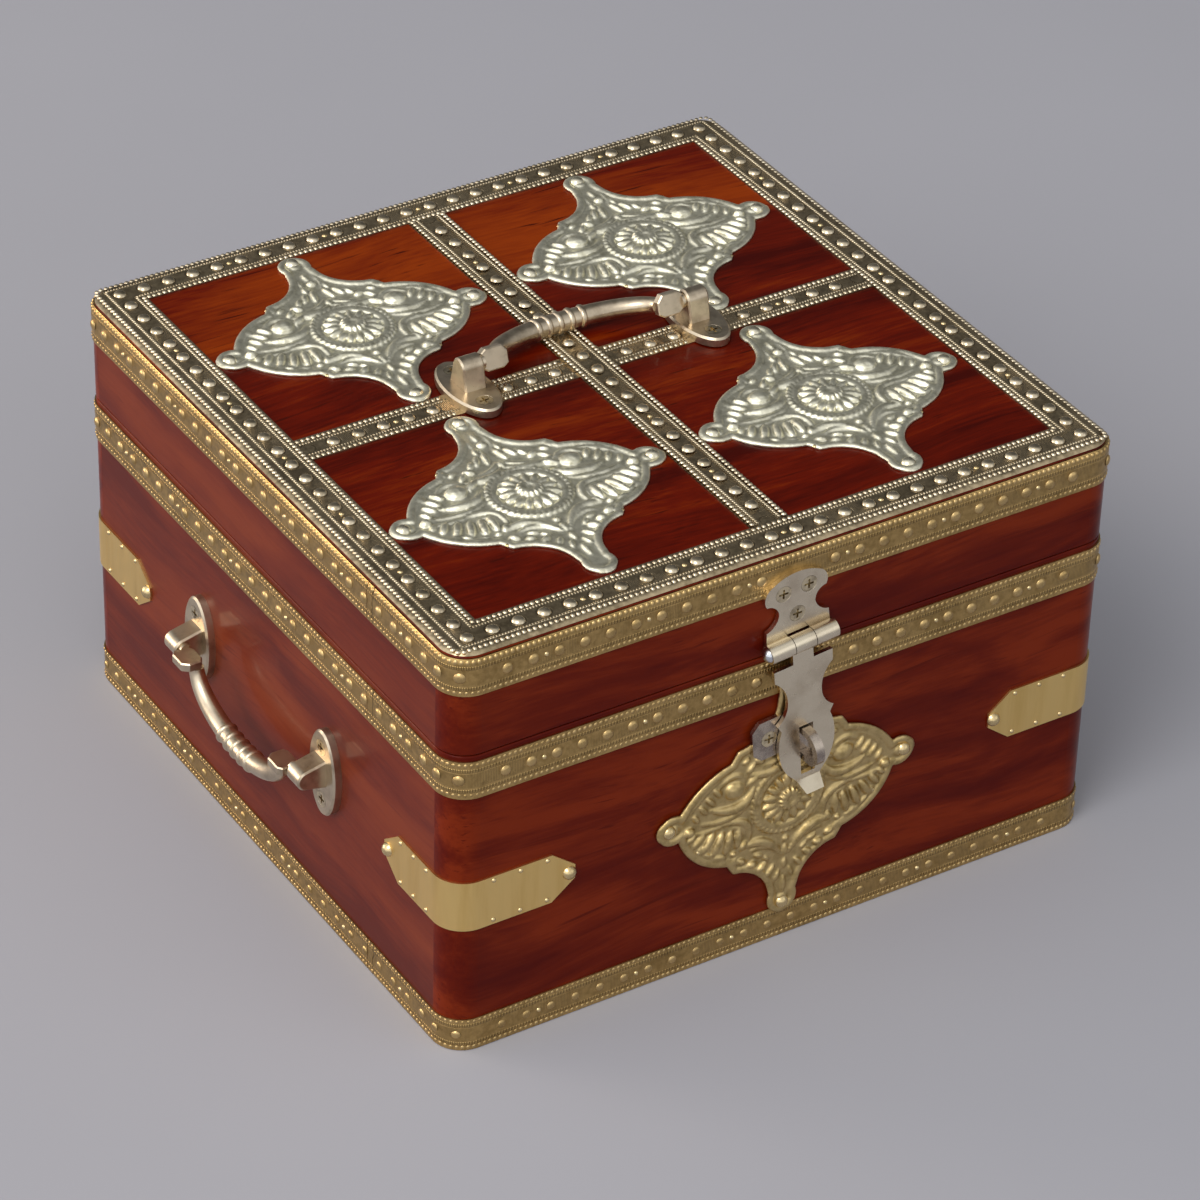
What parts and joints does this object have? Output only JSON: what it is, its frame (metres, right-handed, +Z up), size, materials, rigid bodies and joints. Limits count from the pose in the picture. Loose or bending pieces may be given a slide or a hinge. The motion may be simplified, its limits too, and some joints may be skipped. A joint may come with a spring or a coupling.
{
  "type": "chest",
  "caption": "Hinged-lid chest of stained wood dressed in embossed brass strips and repousse ornaments, with swinging bail handles, corner straps, and a hasp over a staple.",
  "frame": {"origin": "On the flat underside, under the middle of the wooden box.", "axes": "+X to the chest's right seen from the front, +Y to its rear, where the hinges are, +Z up; the hasp faces -Y."},
  "size_m": [0.3428, 0.3238, 0.206],
  "materials": {
    "stained_wood": "glossy red-brown stain under lacquer",
    "lid_strip_brass": "embossed, darkened, polished on the raised beads",
    "band_brass": "embossed, satin",
    "ornament_brass": "repousse, pale and polished",
    "front_ornament_brass": "repousse, golden satin",
    "strap_brass": "plain, satin",
    "handle_brass": "cast, satin, pale",
    "hasp_metal": "pressed sheet, satin",
    "staple_steel": "darkened",
    "hinge_brass": "satin",
    "screw_steel": "cross recessed, satin",
    "nail_metal": "polished heads"
  },
  "bodies": {
    "chest": {"body_base_band": "band_brass", "body_pins": "nail_metal", "body_rim_band": "band_brass", "bottom_board": "stained_wood", "corner_strap_nails": "nail_metal", "corner_strap_pins": "nail_metal", "front_board": "stained_wood", "front_left_corner_strap": "strap_brass", "front_ornament": "front_ornament_brass", "front_ornament_nails": "nail_metal", "front_right_corner_strap": "strap_brass", "hinge_body_screws": "screw_steel", "hinge_pins": "hinge_brass", "left_board": "stained_wood", "left_handle_front_post": "handle_brass", "left_handle_rear_post": "handle_brass", "left_hinge_body_leaf": "hinge_brass", "rear_board": "stained_wood", "rear_left_corner_strap": "strap_brass", "rear_right_corner_strap": "strap_brass", "right_board": "stained_wood", "right_handle_front_post": "handle_brass", "right_handle_rear_post": "handle_brass", "right_hinge_body_leaf": "hinge_brass", "side_handle_screws": "screw_steel", "staple_loop": "staple_steel", "staple_plate": "staple_steel", "staple_screws": "screw_steel"},
    "lid": {"hasp_leaf": "hasp_metal", "hasp_pin": "hasp_metal", "hasp_screws": "screw_steel", "hinge_lid_screws": "screw_steel", "left_hinge_lid_leaf": "hinge_brass", "lid_cross_strip_over": "lid_strip_brass", "lid_cross_strip_under": "lid_strip_brass", "lid_frame_strip_front": "lid_strip_brass", "lid_frame_strip_left": "lid_strip_brass", "lid_frame_strip_rear": "lid_strip_brass", "lid_frame_strip_right": "lid_strip_brass", "lid_front_rail": "stained_wood", "lid_left_rail": "stained_wood", "lid_ornament_front_left": "ornament_brass", "lid_ornament_front_right": "ornament_brass", "lid_ornament_nails": "nail_metal", "lid_ornament_rear_left": "ornament_brass", "lid_ornament_rear_right": "ornament_brass", "lid_pins": "nail_metal", "lid_rear_rail": "stained_wood", "lid_right_rail": "stained_wood", "lid_side_band": "band_brass", "lid_top_panel": "stained_wood", "right_hinge_lid_leaf": "hinge_brass", "top_handle_left_post": "handle_brass", "top_handle_right_post": "handle_brass", "top_handle_screws": "screw_steel"},
    "hasp_strap": {"hasp_strap": "hasp_metal"},
    "top_bail": {"top_handle_bail": "handle_brass"},
    "left_bail": {"left_handle_bail": "handle_brass"},
    "right_bail": {"right_handle_bail": "handle_brass"}
  },
  "joints": [
    {"name": "lid_hinge", "type": "hinge", "parent": "chest", "child": "lid", "pos_m": [0, 0.15405, 0.14215], "axis": [-1, 0, 0], "range_deg": [0, 180]},
    {"name": "hasp_hinge", "type": "hinge", "parent": "lid", "child": "hasp_strap", "pos_m": [0.0002, -0.15465, 0.1474], "axis": [-0.9954, 0, -0.0958], "range_deg": [0, 170]},
    {"name": "top_bail_hinge", "type": "hinge", "parent": "lid", "child": "top_bail", "pos_m": [-0.00115, 0.0063, 0.2009], "axis": [1, 0, 0], "range_deg": [0, 218]},
    {"name": "left_bail_hinge", "type": "hinge", "parent": "chest", "child": "left_bail", "pos_m": [-0.1644, -0.0035, 0.0795], "axis": [0, 1, 0], "range_deg": [-18, 198]},
    {"name": "right_bail_hinge", "type": "hinge", "parent": "chest", "child": "right_bail", "pos_m": [0.1644, -0.0035, 0.0795], "axis": [0, -1, 0], "range_deg": [-18, 198]}
  ]
}
